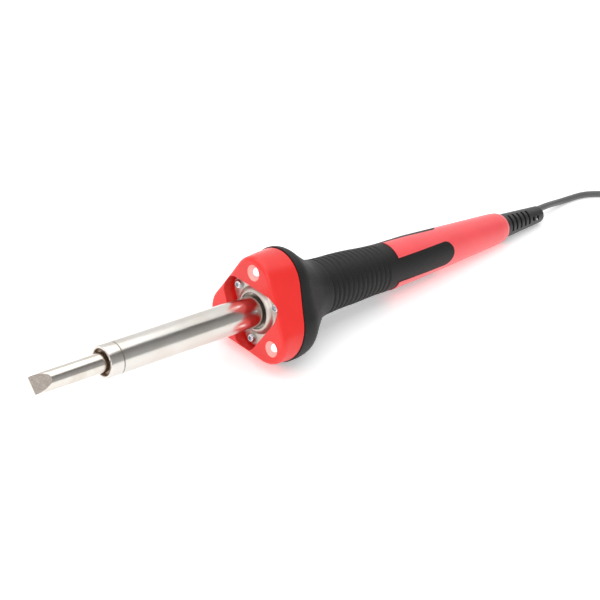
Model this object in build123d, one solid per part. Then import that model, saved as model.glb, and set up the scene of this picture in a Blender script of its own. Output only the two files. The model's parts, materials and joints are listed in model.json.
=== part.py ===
from build123d import *
from math import atan2, cos, degrees, pi, radians, sin, tan
import os

# Electric soldering iron with three lights around its barrel, lying at rest.
# Millimetres. Every piece is made about the iron's own axis, X, which runs from the
# tip to the tail with zero at the barrel's front face, and is then laid down on Z = 0.

# ---- fits
FIT = 0.05  # radial room where one piece seats in another
TIP_RUN = 0.08  # radial room for the tip's shank to slide
SEAM = 0.2  # gap along X between the shield and the grip

# ---- tip
TIP_R = 4.75
TIP_OUT = 38.0
TIP_IN = 34.0
TIP_FACET = 9.0
TIP_EDGE = 1.0
TIP_TURN = 42.0  # the edge's direction, degrees about X from Y

# ---- barrel and nose
BARREL_R = 8.0
BARREL_WALL = 0.7
BARREL_LEN = 96.0
NOSE_LEN = 6.8
NOSE_GROOVE = 0.6
NOSE_SPIGOT = 9.0
NOSE_MOUTH_R = 6.4
NOSE_MOUTH_DEEP = 2.2
NOSE_CHAMFER = 0.6
SET_R = 1.5
SET_TURN = 300.0  # where the tip's set screw stands, degrees about X from Y
SET_GAP = 0.3  # between the set screw's end and the tip's shank
SET_HEX_R = 0.85
SET_HEX_DEEP = 1.2

# ---- heater, from the inside out
SLEEVE_WALL = 0.35
MICA = 0.25
WINDING = 0.7
HEATER_LEN = 64.0
WINDING_END = 5.0  # bare sleeve at each end of the winding
PLUG_LEN = 12.0  # ceramic plug that closes the barrel's rear
LEAD_R = 0.45
LEAD_OFF = 3.2  # each heater lead's distance from the axis
LEAD_SLEEVE_R = 1.1

# ---- flange plate, its bead and its screws
PLATE = 1.2
LIP_GAP = 1.3  # between the barrel and the bead
BEAD_R = 1.5
BEAD_HIGH = 1.0  # straight part of the bead below its round top
BEAD_FOOT = 0.6
SCREW_R = 1.45
HEAD_R = 2.45
HEAD_HIGH = 1.9
HEAD_SOCKET_R = 1.15
HEAD_LAND = 1.15  # between the bead and a screw's head
LUG_LAND = 1.35  # room for the plate around a screw's head
LUG_END = 19.4  # the lugs' straight ends, from the axis
LUG_SIDE = 12.6
LUG_ROUND = 1.0
SCREW_LEN = 15.0
FLARE_WALL = 0.8  # thickness of the barrel's rear flange
FLARE_EDGE = 0.3  # the flange stops this far outside the bead's foot
GASKET = 1.0
TAG = 0.6
TAG_WIDE = 1.9

# ---- red shield
SHIELD_WALL = 2.2
SHIELD_FLOOR = 3.0
POCKET_DEEP = 6.8
POCKET_ROOM = 0.8  # around the plate's lugs
POCKET_CORNER = 8.0
POCKET_RIM = 1.8  # from a pocket corner to the shield's side
LED_LAND = 5.35  # from the pocket to a light
LED_R = 2.4
LED_RIM = 5.2  # from a light to the shield's outside
LED_LEN = 6.2
LED_BASE = 0.8
LED_SUNK = 0.8
LED_FLARE = 1.3
SHIELD_LEN = 15.0
SHIELD_EDGE = 2.4  # round of the front edge
LOBE_GROWS = 1.2
FLAT_GROWS = 2.2
HOLE_R = 10.5  # wire way through the shield, the board and the handle's web

# ---- lamp board
BOARD = 1.6
BOARD_OFF = 1.4  # behind the shield's floor
BOARD_EDGE = 1.5
CAPACITOR = (7.0, 10.0, 6.0)
RECTIFIER = (2.5, 6.0, 5.0)
RESISTOR_R = 1.25
RESISTOR_LEN = 7.0
PIN_R = 0.25
PIN_APART = 2.54

# ---- handle and grip
COLLAR_LEN = 36.4  # from the seam to where the grip is round
GRIP_R = 14.55
WAIST_R = 12.8
TAIL_R = 9.3
END_R = 7.6
GRIP_LEN = 66.0  # from the collar to the waist
TAPER_LEN = 72.0  # from the waist to the tail
SHOULDER = 7.0
GRIP_DEEP = 2.2
CORE_WALL = 1.6
TAIL_WALL = 2.4
BLACK_LEN = 46.0  # grip that is black all round, behind the collar
TONGUE_LEN = 45.2
TONGUE_WIDE = 13.4
TONGUE_TURN = 165.0  # the first tongue's middle, degrees about X from Y
RIBS = 13
RIB_PITCH = 3.55
RIB_START = -5.3  # from where the grip is round
GROOVE_WIDE = 1.7
GROOVE_DEEP = 0.7
WEB = 2.0
WEB_OFF = 7.4  # web behind the seam
BOSS_R = 3.4
SPIGOT = 2.0

# ---- lead inside the handle
CORD_R = 1.9
CORD_IN = 29.0  # jacket inside the handle
CORE_R = 0.62
CORE_OFF = 0.95
CRIMP_R = 1.7
CRIMP_LEN = 10.0
CRIMP_AT = 50.0  # crimps behind the barrel's rear
FERRULE_R = 3.8
FERRULE_LEN = 8.0
FERRULE_OFF = 8.0

# ---- strain relief, which the lead leaves off centre
BOOT_LEN = 37.0
BOOT_R = 7.2
BOOT_END_R = 5.0
BOOT_ROUND = 0.8
BOOT_NECK_R = 4.5
BOOT_SNAP_R = 5.4
BOOT_SNAP = 2.0
LEAD_RISE = 2.6  # how far off centre the lead leaves
LEAD_RISE_TURN = 51.0
SLOTS = 5  # blind slots on each side, and then two through the relief below the lead
SLOT_START = 4.7
SLOT_PITCH = 4.2
SLOT_WIDE = 1.7
SLOT_WEB = 5.6
SLOT_SHARE = 0.7  # of the relief's width
THROUGH_HIGH = 2.4
THROUGH_OFF = 2.1

# ---- free lead, its coil and its plug, where they lie
ROUTE = [
    (189.0, 2.5, 6.4),
    (198.5, 3.9, 4.3),
    (208.0, 4.5, 2.6),
    (217.5, 4.3, 1.9),
    (228.5, 2.6, 1.9),
    (236.5, -2.2, 1.9),
    (245.5, -9.3, 1.9),
    (255.5, -16.0, 2.1),
    (265.5, -21.3, 2.5),
    (276.3, -25.7, 2.5),
]
TIE = 0.6
TIE_WIDE = 7.0
TIE_TURN = 40.0
COIL_AT = (305.5, -4.0)
COIL_R = 30.4  # middle of the outermost turn
COIL_ROWS = 5
COIL_LAYERS = 2
COIL_IN = -110.0
COIL_OUT = -80.0
COIL_STUB = 20.0
TAIL_ROUTE = [(339.5, -28.6, 7.6), (347.5, -27.0, 10.4), (355.5, -26.0, 12.5)]
PLUG_BODY = (30.0, 26.0, 25.0)
PLUG_RELIEF = 14.0
PLUG_ROUND = 3.0
BLADE = (17.5, 1.5, 6.35)
BLADES_APART = 12.7
BLADE_UP = 8.0
EARTH_UP = 11.9  # earth pin above the blades
EARTH_R = 2.4
EARTH_LEN = 21.0

# ---- places worked out from the sizes above
BORE_R = TIP_R + TIP_RUN
TUBE_IN = BARREL_R - BARREL_WALL
SLEEVE_R = BORE_R + SLEEVE_WALL
WINDING_R = SLEEVE_R + MICA + WINDING
NOSE_END = NOSE_LEN + NOSE_SPIGOT
SLEEVE_AT = NOSE_END + FIT
SLEEVE_END = SLEEVE_AT + HEATER_LEN
PLATE_BACK = BARREL_LEN - FLARE_WALL
PLATE_AT = PLATE_BACK - PLATE
LIP_R = BARREL_R + LIP_GAP
BEAD_OUT = LIP_R + 2 * BEAD_R
PLATE_R = BEAD_OUT + BEAD_FOOT
FLARE_R = BEAD_OUT + FLARE_EDGE
SCREW_CIRCLE = BEAD_OUT + HEAD_LAND + HEAD_R
LUG_R = HEAD_R + LUG_LAND
FLOOR_BACK = PLATE_BACK + SHIELD_FLOOR
SHIELD_AT = PLATE_BACK - POCKET_DEEP
POCKET_TIP = SCREW_CIRCLE + LUG_R + POCKET_ROOM
POCKET_SIDE = (POCKET_TIP + POCKET_CORNER) / 2
LED_CIRCLE = POCKET_SIDE + LED_LAND + LED_R
FRONT_LOBE = LED_CIRCLE + LED_R + LED_RIM
FRONT_FLAT = POCKET_TIP + POCKET_RIM
BACK_LOBE = FRONT_LOBE + LOBE_GROWS
BACK_FLAT = FRONT_FLAT + FLAT_GROWS
SEAM_AT = SHIELD_AT + SHIELD_LEN
COLLAR_AT = SEAM_AT + SEAM
ROUND_AT = COLLAR_AT + COLLAR_LEN
WAIST_AT = ROUND_AT + GRIP_LEN
TAIL_AT = WAIST_AT + TAPER_LEN
END_AT = TAIL_AT + SHOULDER
BLACK_END = ROUND_AT + BLACK_LEN
BOARD_AT = FLOOR_BACK + BOARD_OFF
BOARD_BACK = BOARD_AT + BOARD
LED_BASE_AT = SHIELD_AT + LED_SUNK + LED_R + LED_LEN
WEB_AT = COLLAR_AT + WEB_OFF
CRIMP_FRONT = BARREL_LEN + CRIMP_AT
JACKET_AT = END_AT - CORD_IN
SET_AT = (NOSE_MOUTH_DEEP + NOSE_LEN) / 2
LED_TURNS = [90, 210, 330]
SCREW_TURNS = [30, 150, 270]

# the collar's swell, behind the seam: (distance, growth of the lobes, growth of the flats)
LOBE_FALL = BACK_LOBE - GRIP_R
FLAT_FALL = BACK_FLAT - GRIP_R
SWELL = 0.1
COLLAR_SHAPE = [
    (0.0, 1.0, 1.0),
    (0.12, 1.0, 1.0),
    (0.21, 0.92, 0.94),
    (0.32, 0.69, 0.72),
    (0.45, 0.46, 0.48),
    (0.59, 0.21, 0.23),
    (0.7, 0.08, 0.1),
    (0.8, 0.03, 0.03),
    (1.0, 0.02, 0.01),
]


def across(turn, radius, x=0.0):
    """A point at an angle and a distance from the axis."""
    return Vector(x, radius * cos(radians(turn)), radius * sin(radians(turn)))


def turned(points):
    """Solid of revolution about X from a closed outline of (x, radius) points."""
    return revolve(make_face(Polyline(*points, close=True)), Axis.X)


def tube(x0, x1, outer, inner=0.0):
    return turned([(x0, inner), (x1, inner), (x1, outer), (x0, outer)])


def rod(x0, x1, radius, at=(0.0, 0.0)):
    """Round bar along X, with its middle at (y, z)."""
    return Pos(0, at[0], at[1]) * tube(x0, x1, radius)


def strut(start, end, radius):
    """Straight round wire between two points."""
    run = Vector(*end) - Vector(*start)
    plane = Plane(origin=start, z_dir=run)
    return extrude(plane * Circle(radius), run.length)


def ringed(turns, radius, make):
    """Copies of a piece made on the axis, one at each angle."""
    return [Pos(across(turn, radius)) * make() for turn in turns]


def lobed(x, lobe, flat, turn=LED_TURNS[0]):
    """Face across X: three round lobes that reach lobe, and flats between them at flat."""
    centre = 2 * (lobe - flat)
    radius = lobe - centre
    edges = []
    for k in range(3):
        middle = turn + 120 * k
        ends = [across(middle, centre, x) + across(middle + side, radius) for side in (-60, 0, 60)]
        follow = middle + 120
        after = across(follow, centre, x) + across(follow - 60, radius)
        edges += [ThreePointArc(*ends), Line(ends[2], after)]
    return make_face(Wire(edges))


def prism(x0, x1, lobe, flat, turn=LED_TURNS[0]):
    return extrude(lobed(x0, lobe, flat, turn), x1 - x0, dir=(1, 0, 0))


def shield_sections(inset):
    """The shield's outside from front to rear, drawn in by inset."""
    steps = [
        (0.0, -SHIELD_EDGE, -0.75 * SHIELD_EDGE),
        (0.3 * SHIELD_EDGE, -0.4 * SHIELD_EDGE, -0.3 * SHIELD_EDGE),
        (SHIELD_EDGE, 0.0, 0.0),
        (SHIELD_LEN, LOBE_GROWS, FLAT_GROWS),
    ]
    return [lobed(SHIELD_AT + x, FRONT_LOBE + a - inset, FRONT_FLAT + b - inset) for x, a, b in steps]


def collar_sections(inset):
    """The grip's swollen front, from the seam to where it is round."""
    return [
        lobed(
            COLLAR_AT + COLLAR_LEN * x,
            GRIP_R + SWELL + LOBE_FALL * a - inset,
            GRIP_R + SWELL + FLAT_FALL * b - inset,
        )
        for x, a, b in COLLAR_SHAPE
    ]


def envelope(inset):
    """Everything inside the handle's surface, or inside a surface drawn in by inset."""
    swollen = loft(collar_sections(inset), ruled=True)
    barrel = turned(
        [
            (ROUND_AT, 0),
            (ROUND_AT, GRIP_R - inset),
            (WAIST_AT, WAIST_R - inset),
            (TAIL_AT, TAIL_R - inset),
            (TAIL_AT + 0.6 * SHOULDER, TAIL_R - 0.07 * SHOULDER - inset),
            (END_AT - 0.1 * SHOULDER, END_R + 0.07 * SHOULDER - inset),
            (END_AT, END_R - inset),
            (END_AT, 0),
        ]
    )
    return swollen + barrel


# ------------------------------------------------------------------ tip end
def make_tip():
    shank = turned(
        [
            (-TIP_OUT, 0),
            (-TIP_OUT, TIP_R),
            (TIP_IN - 1, TIP_R),
            (TIP_IN, TIP_R - 1),
            (TIP_IN, 0),
        ]
    )
    shoulder = TIP_FACET - TIP_OUT
    side = make_face(
        Plane.XZ
        * Polyline(
            (-TIP_OUT, TIP_EDGE / 2),
            (shoulder, TIP_R),
            (TIP_IN, 2 * TIP_R),
            (TIP_IN, -2 * TIP_R),
            (shoulder, -TIP_R),
            (-TIP_OUT, -TIP_EDGE / 2),
            close=True,
        )
    )
    chisel = shank & extrude(side, 2 * TIP_R, both=True)
    return Rot(TIP_TURN, 0, 0) * chisel


def set_screw_frame():
    """Plane at the set screw's outer end, looking outwards."""
    return Plane(origin=across(SET_TURN, BARREL_R - 0.1, SET_AT), z_dir=across(SET_TURN, 1))


def make_nose():
    ring = turned(
        [
            (0, NOSE_MOUTH_R + NOSE_CHAMFER / 2),
            (NOSE_CHAMFER / 2, NOSE_MOUTH_R),
            (NOSE_MOUTH_DEEP, NOSE_MOUTH_R),
            (NOSE_MOUTH_DEEP, BORE_R),
            (NOSE_END, BORE_R),
            (NOSE_END, TUBE_IN - FIT),
            (NOSE_LEN, TUBE_IN - FIT),
            (NOSE_LEN, BARREL_R),
            (NOSE_CHAMFER, BARREL_R),
            (0, BARREL_R - NOSE_CHAMFER),
        ]
    )
    hole = extrude(set_screw_frame() * Circle(SET_R + FIT), BARREL_R, both=True)
    return ring - (hole & across_half(SET_TURN))


def across_half(turn):
    """Half space on the side of the axis that an angle points to."""
    plane = Plane(origin=(0, 0, 0), z_dir=across(turn, 1))
    return extrude(plane * Rectangle(4 * BARREL_LEN, 4 * BARREL_R), 4 * BARREL_R)


def make_set_screw():
    length = BARREL_R - 0.1 - TIP_R - SET_GAP
    frame = set_screw_frame()
    screw = extrude(frame * Circle(SET_R), -length)
    return screw - extrude(frame * RegularPolygon(SET_HEX_R, 6), -SET_HEX_DEEP)


def make_barrel():
    return turned(
        [
            (NOSE_LEN + NOSE_GROOVE, TUBE_IN),
            (BARREL_LEN, TUBE_IN),
            (BARREL_LEN, FLARE_R),
            (PLATE_BACK, FLARE_R),
            (PLATE_BACK, BARREL_R),
            (NOSE_LEN + NOSE_GROOVE, BARREL_R),
        ]
    )


# ------------------------------------------------------------------ heater
def make_heater():
    wound = (SLEEVE_AT + WINDING_END, SLEEVE_END - WINDING_END)
    return {
        "heater_sleeve": tube(SLEEVE_AT, SLEEVE_END, SLEEVE_R, BORE_R),
        "mica_inner_wrap": tube(*wound, SLEEVE_R + MICA, SLEEVE_R),
        "heater_winding": tube(*wound, WINDING_R, SLEEVE_R + MICA),
        "mica_outer_wrap": tube(*wound, WINDING_R + MICA, WINDING_R),
    }


def make_ceramic_plug():
    plug = tube(BARREL_LEN - PLUG_LEN, BARREL_LEN + 2, TUBE_IN - FIT)
    for side in (-1, 1):
        plug -= rod(0, 2 * BARREL_LEN, LEAD_R + FIT, (side * LEAD_OFF, 0))
    return plug


def make_leads():
    """Heater leads, from the winding to the crimps."""
    start = SLEEVE_END + FIT
    return [rod(start, CRIMP_FRONT + 2, LEAD_R, (side * LEAD_OFF, 0)) for side in (-1, 1)]


def make_lead_sleeves():
    start = BARREL_LEN + 2
    return [
        Pos(0, side * LEAD_OFF, 0) * tube(start, CRIMP_FRONT - 1, LEAD_SLEEVE_R, LEAD_R + FIT)
        for side in (-1, 1)
    ]


# ------------------------------------------------------------------ flange
def lug_face():
    """Three lugs with straight ends, as one six-sided face."""
    half = (LUG_SIDE - LUG_END * cos(pi / 3)) / sin(pi / 3)
    corners = []
    for turn in SCREW_TURNS:
        for side in (-half, half):
            corners.append(across(turn, LUG_END, PLATE_AT) + across(turn + 90, side))
    return make_face(Polyline(*corners, close=True))


def make_plate():
    lugs = extrude(lug_face(), PLATE, dir=(1, 0, 0))
    lugs = fillet(lugs.edges().filter_by(Axis.X), LUG_ROUND)
    disc = tube(PLATE_AT, PLATE_BACK, PLATE_R)
    foot = tube(PLATE_AT - BEAD_HIGH, PLATE_BACK, BEAD_OUT)
    bead = revolve(Pos(PLATE_AT - BEAD_HIGH, LIP_R + BEAD_R) * Circle(BEAD_R), Axis.X)
    plate = lugs + disc + foot + bead - tube(0, PLATE_BACK + 1, LIP_R)
    for hole in ringed(SCREW_TURNS, SCREW_CIRCLE, lambda: tube(0, 2 * BARREL_LEN, SCREW_R + FIT)):
        plate -= hole
    return plate


def make_flange_screw():
    head = PLATE_AT - HEAD_HIGH
    screw = turned(
        [
            (head, 0),
            (head, 0.7 * HEAD_R),
            (head + 0.3 * HEAD_HIGH, HEAD_R - 0.15),
            (head + 0.6 * HEAD_HIGH, HEAD_R),
            (PLATE_AT, HEAD_R),
            (PLATE_AT, SCREW_R),
            (PLATE_AT + SCREW_LEN, SCREW_R),
            (PLATE_AT + SCREW_LEN, 0),
        ]
    )
    socket = Plane(origin=(head, 0, 0), z_dir=(1, 0, 0)) * RegularPolygon(HEAD_SOCKET_R, 6)
    return screw - extrude(socket, 0.6 * HEAD_HIGH)


def make_gasket():
    return tube(BARREL_LEN, BARREL_LEN + GASKET, FLARE_R, TUBE_IN + FIT + TAG_WIDE + 2 * FIT)


def make_earth():
    """Ring tag on the barrel's rear, and its wire back to the crimp."""
    ring = tube(BARREL_LEN, BARREL_LEN + TAG, TUBE_IN + FIT + TAG_WIDE, TUBE_IN + FIT)
    start = (BARREL_LEN + TAG / 2, 0, -TUBE_IN - TAG_WIDE / 2)
    return ring + strut(start, (CRIMP_FRONT + 2, 0, -LEAD_OFF - CORE_R), LEAD_R)


# ------------------------------------------------------------------ shield and lamps
def make_shield():
    outside = loft(shield_sections(0), ruled=True)
    hollow = loft(shield_sections(SHIELD_WALL)[2:], ruled=True)
    hollow -= tube(SHIELD_AT, SHIELD_AT + SHIELD_EDGE + SHIELD_WALL, 2 * BACK_LOBE)
    tub = prism(
        SHIELD_AT,
        FLOOR_BACK,
        POCKET_TIP + SHIELD_WALL,
        POCKET_SIDE + SHIELD_WALL,
        SCREW_TURNS[0],
    )
    shield = (outside - hollow) + (tub & outside)
    shield -= prism(SHIELD_AT - 1, PLATE_BACK, POCKET_TIP, POCKET_SIDE, SCREW_TURNS[0])
    shield -= tube(0, SEAM_AT, HOLE_R)
    shield -= tube(0, BARREL_LEN + GASKET, FLARE_R + FIT)
    for hole in ringed(SCREW_TURNS, SCREW_CIRCLE, lambda: tube(0, SEAM_AT, SCREW_R + FIT)):
        shield -= hole
    mouth = LED_R + FIT
    lamp_hole = [
        (SHIELD_AT - 1, 0),
        (SHIELD_AT - 1, mouth + LED_FLARE),
        (SHIELD_AT, mouth + LED_FLARE),
        (SHIELD_AT + LED_FLARE, mouth),
        (SEAM_AT, mouth),
        (SEAM_AT, 0),
    ]
    for hole in ringed(LED_TURNS, LED_CIRCLE, lambda: turned(lamp_hole)):
        shield -= hole
    return shield


def make_led():
    dome = SHIELD_AT + LED_SUNK + LED_R
    body = tube(dome, LED_BASE_AT, LED_R) + Pos(dome, 0, 0) * Sphere(LED_R)
    return body + tube(LED_BASE_AT - LED_BASE, LED_BASE_AT, LED_R + 0.4)


def make_led_pins():
    pins = []
    for turn in LED_TURNS:
        for side in (-PIN_APART / 2, PIN_APART / 2):
            at = across(turn, LED_CIRCLE) + across(turn + 90, side)
            pins.append(rod(LED_BASE_AT, BOARD_BACK + 0.6, PIN_R, (at.Y, at.Z)))
    return pins


def make_board():
    tip = LED_CIRCLE + BOARD_EDGE
    board = prism(BOARD_AT, BOARD_BACK, tip, SCREW_CIRCLE - HEAD_R) - tube(0, SEAM_AT, HOLE_R)
    for room in ringed(SCREW_TURNS, SCREW_CIRCLE, lambda: tube(0, SEAM_AT, BOSS_R + 4 * FIT)):
        board -= room
    for pin in make_led_pins():
        board -= pin
    return board


def on_board(turn, size):
    """Box that stands on the board's rear face, on one lobe."""
    deep, wide, tall = size
    middle = across(turn, (HOLE_R + LED_CIRCLE) / 2 - PIN_APART / 2, BOARD_BACK + deep / 2)
    return Pos(*middle) * Rot(turn - 90, 0, 0) * Box(deep, wide, tall)


def make_resistors():
    middle = across(LED_TURNS[1], (HOLE_R + LED_CIRCLE) / 2 - PIN_APART / 2)
    along = across(LED_TURNS[1] + 90, RESISTOR_LEN / 2, BOARD_BACK + RESISTOR_R)
    step = across(LED_TURNS[1], 1.3 * RESISTOR_R)
    back = Vector(along.X, -along.Y, -along.Z)
    return [strut(middle + s * step + back, middle + s * step + along, RESISTOR_R) for s in (-1, 1)]


def make_led_wires():
    """Supply wires from the board to the heater's crimps."""
    return [
        strut(
            (BOARD_BACK, side * LEAD_OFF, HOLE_R + 0.7),
            (CRIMP_FRONT + 2, side * LEAD_OFF, CRIMP_R + LEAD_R),
            LEAD_R,
        )
        for side in (-1, 1)
    ]


# ------------------------------------------------------------------ handle
def tongue(turn):
    """Straight slot-shaped prism, through the handle's skin at one angle."""
    middle = (ROUND_AT + BLACK_END + TONGUE_LEN) / 2
    length = BLACK_END + TONGUE_LEN - ROUND_AT
    plane = Plane(origin=(middle, 0, 0), x_dir=(1, 0, 0), z_dir=across(turn, 1))
    return extrude(plane * SlotOverall(length, TONGUE_WIDE), 2 * GRIP_R)


def grip_room(inner):
    """All the space that the soft grip may fill, outside the core under it."""
    room = tube(COLLAR_AT - 1, BLACK_END, 2 * BACK_LOBE)
    for k in range(3):
        room += tongue(TONGUE_TURN + 120 * k)
    return room - inner


def make_grip(outer, room):
    grip = outer & room
    for k in range(RIBS):
        x = ROUND_AT + RIB_START + k * RIB_PITCH
        surface = GRIP_R - (GRIP_R - WAIST_R) * (x - ROUND_AT) / GRIP_LEN
        if x < ROUND_AT:
            surface += SWELL
        half = GROOVE_WIDE / 2
        grip -= turned([(x - half, surface + 0.5), (x, surface - GROOVE_DEEP), (x + half, surface + 0.5)])
    return grip


def make_core(outer, room):
    sections = collar_sections(GRIP_DEEP + CORE_WALL)
    mouth = [Pos(-SPIGOT - 1, 0, 0) * sections[0]]
    hollow = loft(mouth + sections, ruled=True)
    hollow += turned(
        [
            (ROUND_AT, 0),
            (ROUND_AT, GRIP_R - GRIP_DEEP - CORE_WALL),
            (WAIST_AT, WAIST_R - GRIP_DEEP - CORE_WALL),
            (TAIL_AT, TAIL_R - TAIL_WALL),
            (TAIL_AT, 0),
        ]
    )
    hollow -= tube(WEB_AT, WEB_AT + WEB, 2 * BACK_LOBE, HOLE_R)
    narrows = (SPIGOT + SEAM) / SHIELD_LEN
    spigot = prism(
        COLLAR_AT - SPIGOT,
        COLLAR_AT + 1,
        BACK_LOBE - LOBE_GROWS * narrows - SHIELD_WALL - 3 * FIT,
        BACK_FLAT - FLAT_GROWS * narrows - SHIELD_WALL - 3 * FIT,
    )
    core = (outer - room) + spigot - hollow
    core -= tube(TAIL_AT - 1, END_AT + 1, BOOT_NECK_R + FIT)
    for boss in ringed(SCREW_TURNS, SCREW_CIRCLE, lambda: tube(FLOOR_BACK + FIT, WEB_AT + 0.1, BOSS_R)):
        core += boss
    for hole in ringed(SCREW_TURNS, SCREW_CIRCLE, lambda: tube(0, PLATE_AT + SCREW_LEN + 1, SCREW_R + FIT)):
        core -= hole
    return core


# ------------------------------------------------------------------ lead inside the handle
def make_crimps():
    """Joints between the heater's wires and the lead's cores."""
    made = {}
    for name, y, z in (("live", LEAD_OFF, 0), ("neutral", -LEAD_OFF, 0), ("earth", 0, -LEAD_OFF - CORE_R)):
        crimp = tube(CRIMP_FRONT, CRIMP_FRONT + CRIMP_LEN, CRIMP_R)
        crimp -= tube(CRIMP_FRONT, CRIMP_FRONT + 3, 2 * LEAD_R)
        crimp -= tube(CRIMP_FRONT + 3, CRIMP_FRONT + CRIMP_LEN, CORE_R)
        made[name] = Pos(0, y, z) * crimp
    return made


def make_cord_core(y, z):
    """One insulated core, from its crimp to the end of the lead's jacket."""
    spread = (y**2 + z**2) ** 0.5
    inside = (JACKET_AT - FIT, y * CORE_OFF / spread, z * CORE_OFF / spread)
    return strut((CRIMP_FRONT + CRIMP_LEN, y, z), inside, CORE_R)


def lead_line():
    """The lead's middle line inside the strain relief, which it leaves off centre."""
    start = Vector(END_AT, 0, 0)
    half = across(LEAD_RISE_TURN, LEAD_RISE / 4, END_AT + BOOT_LEN / 2)
    return ThreePointArc(start, half, across(LEAD_RISE_TURN, LEAD_RISE, END_AT + BOOT_LEN))


def lead_inside(radius):
    """Round bar along the lead, from its jacket's front to the relief's end."""
    line = lead_line()
    start = Plane(origin=line @ 0, z_dir=line % 0)
    return rod(JACKET_AT, END_AT + FIT, radius) + sweep(start * Circle(radius), path=line)


def slot(x, web, high, off):
    """Pair of slots across the relief with a web between them, or one slot if there is no web."""
    width = 4 * BOOT_R
    box = Box(SLOT_WIDE, width, high)
    if web:
        box -= Box(SLOT_WIDE + 1, web, high + 1)
    return Rot(LEAD_RISE_TURN - 90, 0, 0) * Pos(END_AT + x, 0, off) * box


def make_boot():
    end = END_AT + BOOT_LEN
    boot = turned(
        [
            (TAIL_AT - BOOT_SNAP, 0),
            (TAIL_AT - BOOT_SNAP, BOOT_SNAP_R),
            (TAIL_AT, BOOT_SNAP_R),
            (TAIL_AT, BOOT_NECK_R),
            (END_AT, BOOT_NECK_R),
            (END_AT, BOOT_R),
            (end - BOOT_ROUND, BOOT_END_R),
            (end, BOOT_END_R - BOOT_ROUND),
            (end, 0),
        ]
    )
    for k in range(SLOTS):
        x = SLOT_START + k * SLOT_PITCH
        radius = BOOT_R - (BOOT_R - BOOT_END_R) * x / BOOT_LEN
        boot -= slot(x, SLOT_WEB, 2 * SLOT_SHARE * radius, 0)
    for k in (SLOTS, SLOTS + 1):
        boot -= slot(SLOT_START + k * SLOT_PITCH, 0, THROUGH_HIGH, -THROUGH_OFF)
    return boot - lead_inside(CORD_R + FIT)


def make_ferrule():
    start = JACKET_AT + FERRULE_OFF
    ferrule = tube(start, start + FERRULE_LEN, FERRULE_R, CORD_R)
    for x in (0.3, 0.6):
        groove = start + x * FERRULE_LEN
        ferrule -= tube(groove, groove + 0.8, FERRULE_R + 1, FERRULE_R - 0.5)
    return ferrule


# ------------------------------------------------------------------ lying at rest
def rest_frame():
    """Lays the iron on the grip's flat side and its tail, tail down, middle over zero."""
    collar = Vector(COLLAR_AT + 0.12 * COLLAR_LEN, 0, -BACK_FLAT - SWELL)
    tail = Vector(TAIL_AT, 0, -TAIL_R)
    tilt = atan2(tail.Z - collar.Z, tail.X - collar.X)
    turn = Location((0, 0, 0), (0, degrees(tilt), 0))
    lift = -(turn * Pos(collar)).position.Z
    front = (turn * Pos(-TIP_OUT, 0, 0)).position.X
    back = (turn * Pos(END_AT + BOOT_LEN, 0, 0)).position.X + BOOT_END_R * sin(tilt)
    return Pos(-(front + back) / 2, 0, lift) * turn


def lead_path(points):
    """Straight runs joined by the largest arcs that fit, and its length."""
    points = [Vector(*p) for p in points]
    runs = [b - a for a, b in zip(points, points[1:])]
    radii = []
    for a, b in zip(runs, runs[1:]):
        half = radians(a.get_angle(b)) / 2
        radii.append(0.45 * min(a.length, b.length) / tan(half))
    print("lead radii, mm:", [round(r) for r in radii])
    return FilletPolyline(*points, radius=radii)


def lead_tube(points):
    path = lead_path(points)
    made = sweep(Plane(origin=path @ 0, z_dir=path % 0) * Circle(CORD_R), path=path)
    print("tube volume over section times length:", round(made.volume / (pi * CORD_R**2 * path.length), 4))
    return made


def on_coil(turn, layer):
    """A point on the coil's outermost turn, and the way that the lead runs there."""
    height = TIE + CORD_R * (2 * layer + 1)
    a = radians(turn)
    spot = Vector(COIL_AT[0] + COIL_R * cos(a), COIL_AT[1] + COIL_R * sin(a), height)
    return spot, Vector(-sin(a), cos(a), 0)


def make_coil():
    """Outer shape of the wound lead, with the ends of its first and last turns."""
    inner = COIL_R + CORD_R - 2 * CORD_R * COIL_ROWS
    high = 2 * CORD_R * COIL_LAYERS
    ring = Pos(*COIL_AT, TIE) * extrude(Circle(COIL_R + CORD_R) - Circle(inner), high)
    for turn, layer, side in ((COIL_IN, 0, -1), (COIL_OUT, COIL_LAYERS - 1, 1)):
        spot, way = on_coil(turn, layer)
        end = Plane(origin=spot, x_dir=(0, 0, 1), z_dir=side * way)
        ring += extrude(end * Rectangle(2 * CORD_R, 2 * CORD_R), COIL_STUB)
    return ring


def make_tie():
    """Flat band round the coil's bundle."""
    wide = 2 * CORD_R * COIL_ROWS
    high = 2 * CORD_R * COIL_LAYERS
    middle = COIL_R + CORD_R - wide / 2
    band = Box(wide + 2 * TIE, TIE_WIDE, high + 2 * TIE) - Box(wide, TIE_WIDE, high)
    band = Pos(*COIL_AT, TIE + high / 2) * Rot(0, 0, TIE_TURN) * Pos(middle, 0, 0) * band
    return band - make_coil()


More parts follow.
